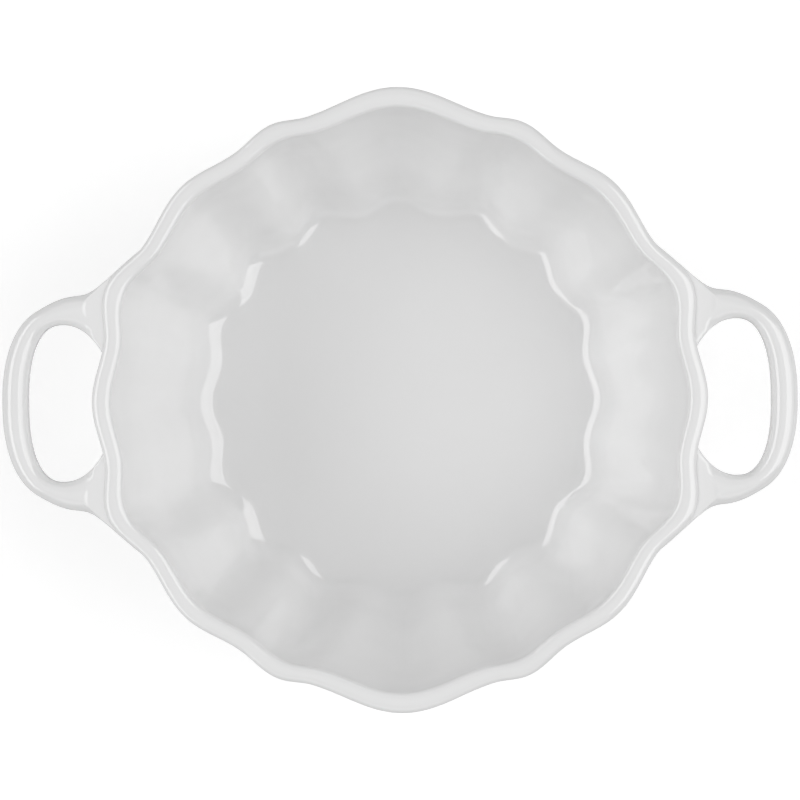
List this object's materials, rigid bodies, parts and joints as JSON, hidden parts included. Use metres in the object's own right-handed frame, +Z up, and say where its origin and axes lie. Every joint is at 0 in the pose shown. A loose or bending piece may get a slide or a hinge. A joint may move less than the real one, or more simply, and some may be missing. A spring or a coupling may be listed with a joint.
{
  "type": "lidded pumpkin ramekin",
  "caption": "Ribbed pumpkin-shaped stoneware dish with loop handles, and its loose ribbed lid with a stem knob laid beside it, for baking and serving individual portions.",
  "frame": {"origin": "centre of the dish's flat base, on the surface that the dish and its lid stand on", "axes": "+X through the right handle, +Y towards the lid laid beside the dish, +Z up"},
  "size_m": [0.155, 0.2766, 0.0568],
  "materials": {
    "white_glaze": "gloss white glaze on stoneware"
  },
  "bodies": {
    "dish": {"dish_body": "white_glaze", "left_handle": "white_glaze", "right_handle": "white_glaze"},
    "lid": {"lid_shell": "white_glaze", "lid_stem": "white_glaze"}
  },
  "joints": [
    {"name": "lid_lift", "type": "slide", "parent": "dish", "child": "lid", "axis": [0, 0, 1], "range_m": [0, 0.12]}
  ]
}
